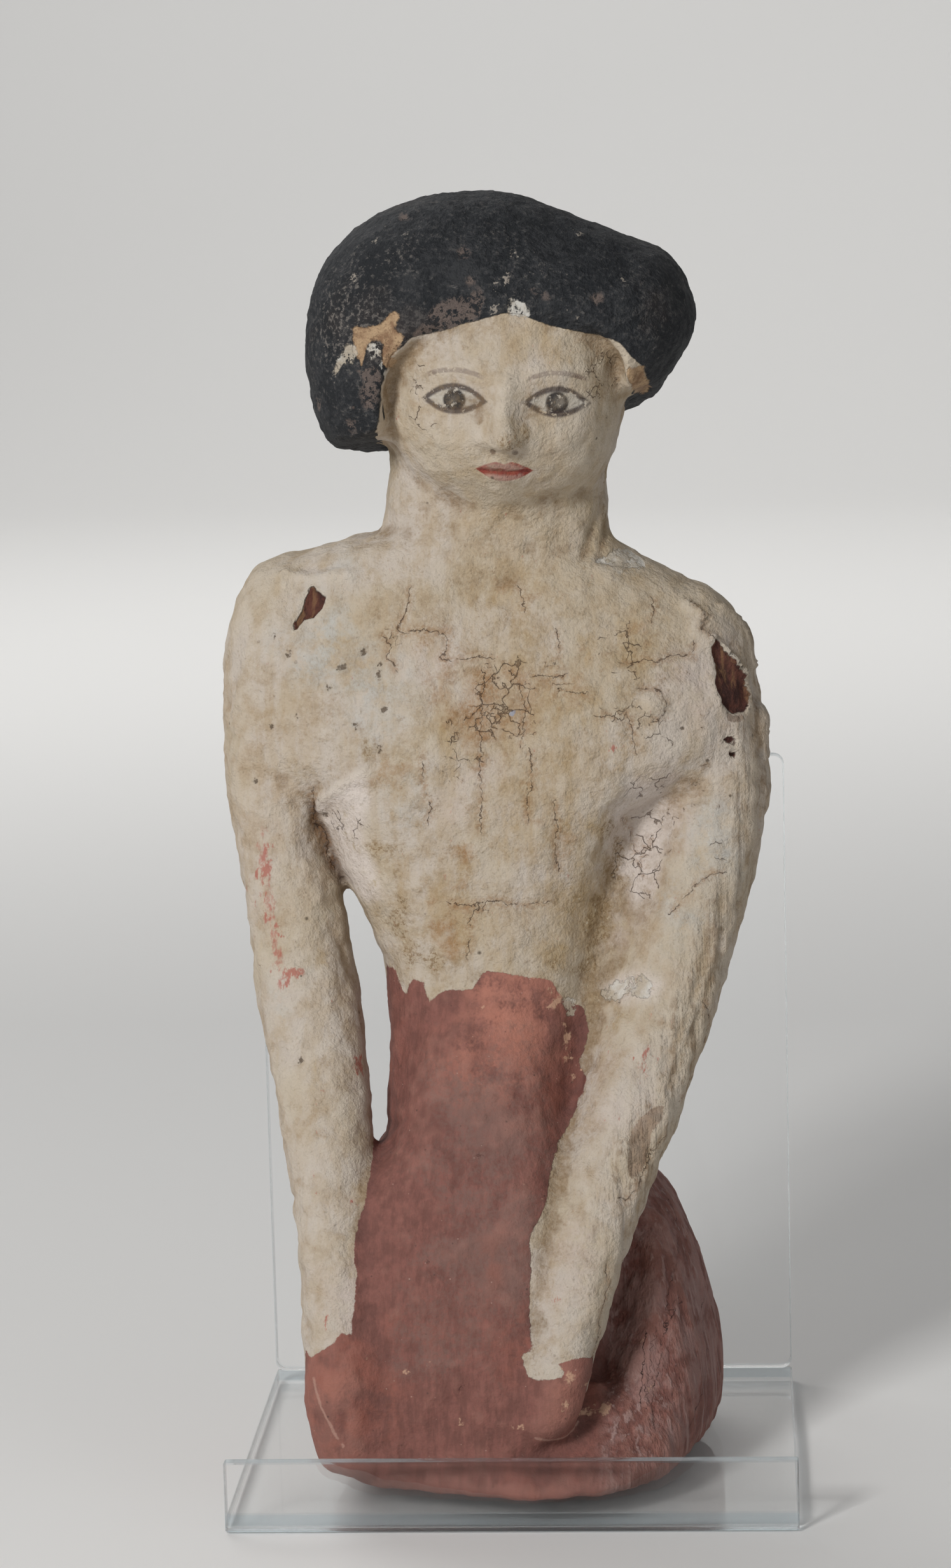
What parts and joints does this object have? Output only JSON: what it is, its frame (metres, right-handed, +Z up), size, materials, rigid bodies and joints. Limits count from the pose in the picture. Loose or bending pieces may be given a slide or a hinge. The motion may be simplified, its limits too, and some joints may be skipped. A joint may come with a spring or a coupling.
{
  "type": "wooden figurine",
  "caption": "Kneeling painted wooden servant figure with bob wig, arms reaching down to the lap, standing in a small clear acrylic stand.",
  "frame": {"origin": "middle of the stand's footprint, on its underside", "axes": "+Z up, +X to the viewer's right, +Y away from the viewer; the figure faces -Y"},
  "size_m": [0.1009, 0.0864, 0.2298],
  "materials": {
    "painted_gesso": "matt painted gesso over carved wood",
    "clear_acrylic": "clear polished sheet, a little scratched"
  },
  "bodies": {
    "root": {"kneeling_figure": "painted_gesso", "stand_base_plate": "clear_acrylic", "stand_front_lip": "clear_acrylic", "stand_back_plate": "clear_acrylic"}
  },
  "joints": []
}
